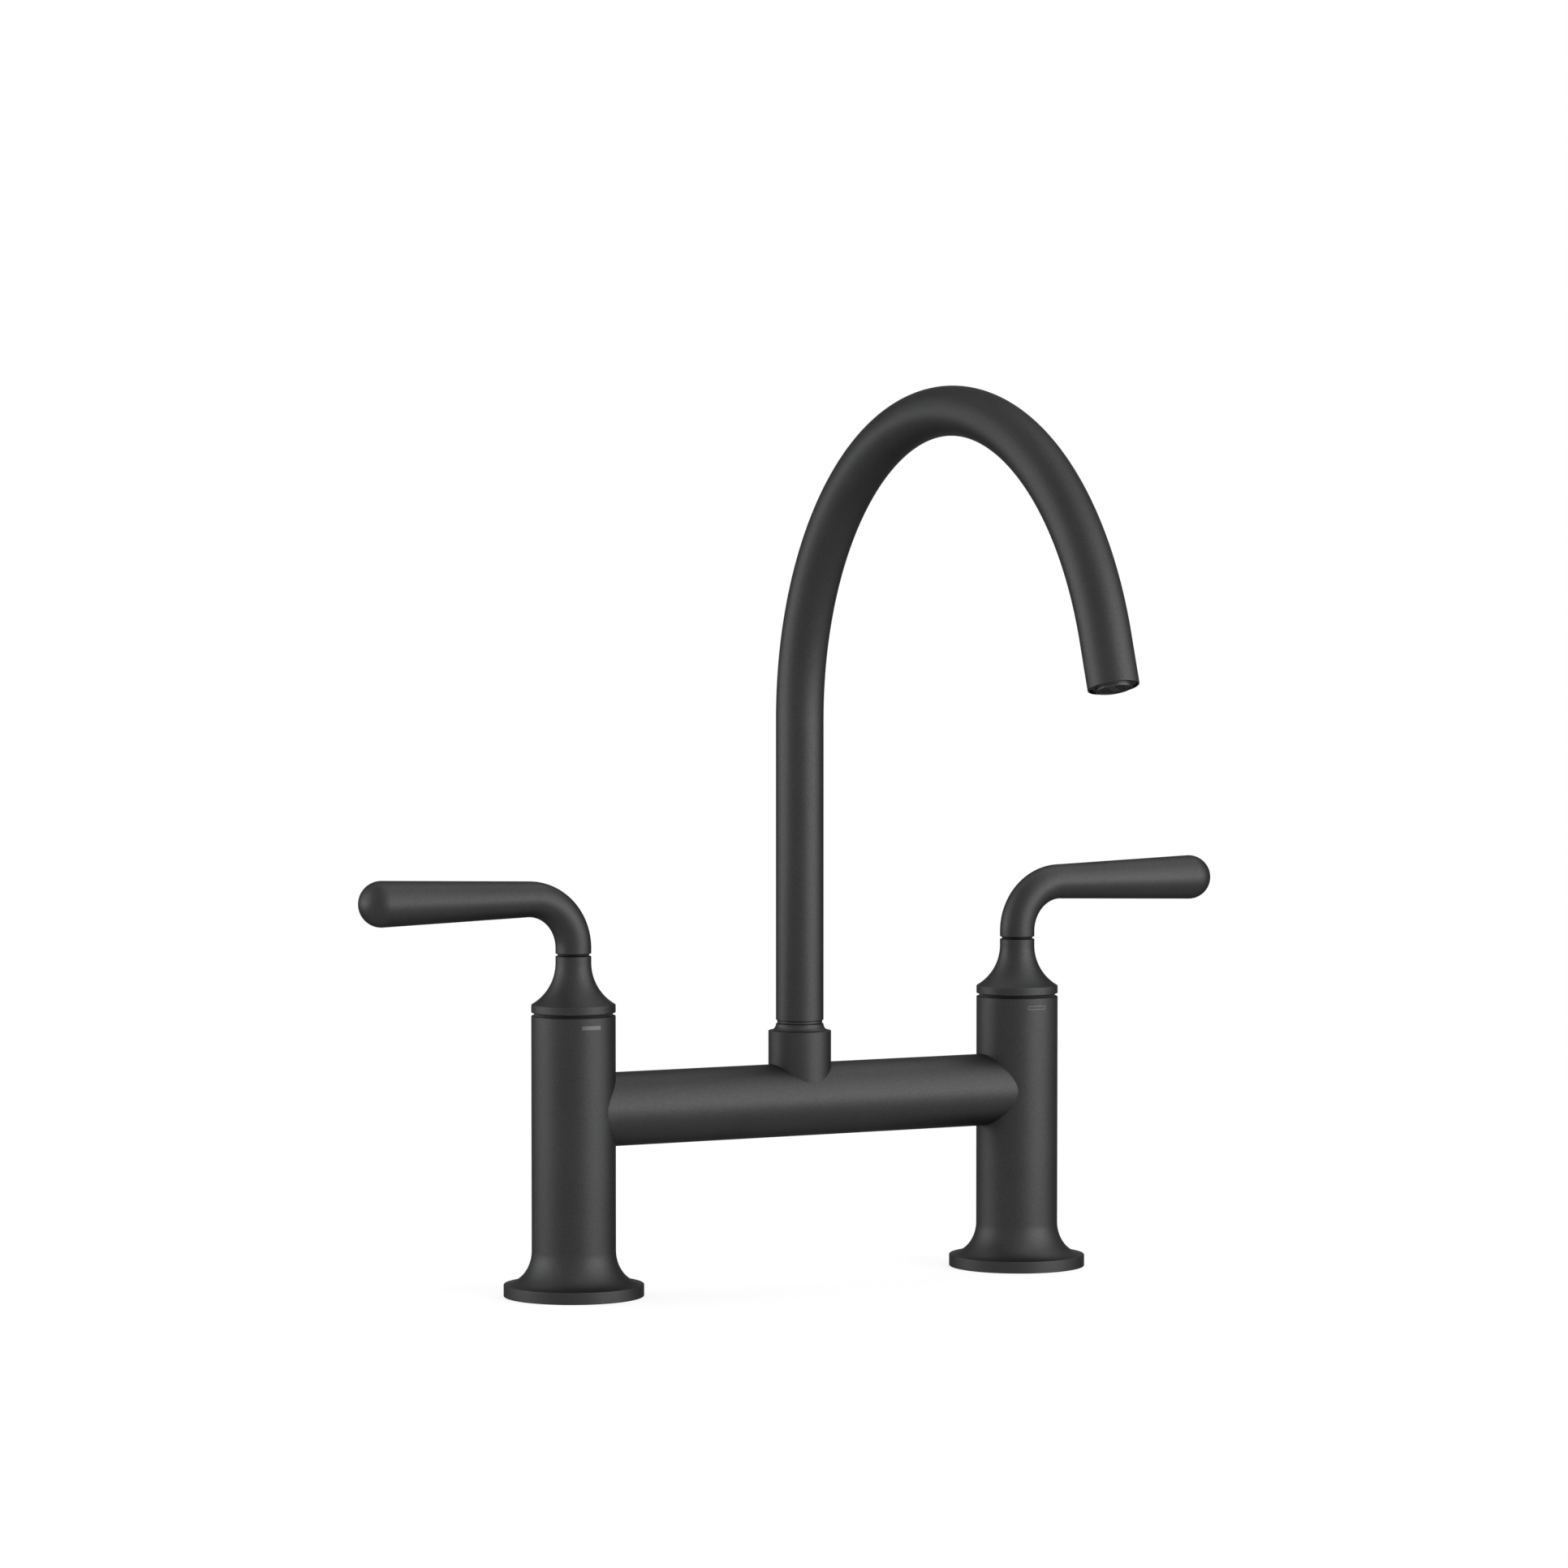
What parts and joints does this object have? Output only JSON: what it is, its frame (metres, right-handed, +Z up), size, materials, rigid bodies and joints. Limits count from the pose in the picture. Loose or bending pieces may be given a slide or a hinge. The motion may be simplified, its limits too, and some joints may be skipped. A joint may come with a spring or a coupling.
{
  "type": "bridge kitchen faucet",
  "caption": "Matt black bridge kitchen faucet: coved deck pillars with quarter-turn levers, joined by a horizontal bridge tube that carries a swivelling gooseneck spout.",
  "frame": {"origin": "on the deck plane under the feet, midway between the axes of the left and right pillars", "axes": "+X from the hot pillar on the user's left to the cold pillar on the right, +Y away from the user, so the spout reaches towards -Y, and +Z up"},
  "size_m": [0.3812, 0.2772, 0.3537],
  "materials": {
    "black_coat": "fine-grained matt black coating",
    "brass": "machined",
    "ceramic": "lapped ceramic",
    "rubber": "moulded",
    "polymer": "moulded",
    "steel": "turned"
  },
  "bodies": {
    "faucet_body": {"left_pillar_shell": "black_coat", "left_foot_gasket": "rubber", "left_valve_body": "brass", "left_seat_seal": "rubber", "left_cartridge_body": "brass", "left_fixed_disc": "ceramic", "left_glide_ring": "polymer", "left_bridge_nipple": "brass", "left_nipple_o_ring": "rubber", "right_pillar_shell": "black_coat", "right_foot_gasket": "rubber", "right_valve_body": "brass", "right_seat_seal": "rubber", "right_cartridge_body": "brass", "right_fixed_disc": "ceramic", "right_glide_ring": "polymer", "right_bridge_nipple": "brass", "right_nipple_o_ring": "rubber", "bridge_tube": "black_coat", "tee_collar": "black_coat", "swivel_ring": "black_coat", "spout_grub_screw": "steel"},
    "left_handle": {"left_rotating_disc": "ceramic", "left_spindle": "brass", "left_spindle_clip": "steel", "left_handle_cap": "black_coat", "left_cap_screw": "steel", "left_lever_stud": "steel", "left_lever_spacer": "polymer", "left_lever": "black_coat"},
    "right_handle": {"right_rotating_disc": "ceramic", "right_spindle": "brass", "right_spindle_clip": "steel", "right_handle_cap": "black_coat", "right_cap_screw": "steel", "right_lever_stud": "steel", "right_lever_spacer": "polymer", "right_lever": "black_coat"},
    "spout": {"spout_tube": "black_coat", "spout_spigot": "brass", "spout_o_ring_lower": "rubber", "spout_o_ring_upper": "rubber", "aerator_housing": "polymer", "aerator_insert": "polymer", "flow_regulator": "polymer", "aerator_washer": "rubber"}
  },
  "joints": [
    {"name": "left_lever_turn", "type": "hinge", "parent": "faucet_body", "child": "left_handle", "pos_m": [-0.1, 0, 0.1111], "axis": [0, 0, 1], "range_deg": [0, 90]},
    {"name": "right_lever_turn", "type": "hinge", "parent": "faucet_body", "child": "right_handle", "pos_m": [0.1, 0, 0.1111], "axis": [0, 0, 1], "range_deg": [-90, 0]},
    {"name": "spout_swivel", "type": "hinge", "parent": "faucet_body", "child": "spout", "pos_m": [0, 0, 0.10425], "axis": [0, 0, 1], "continuous": true}
  ]
}
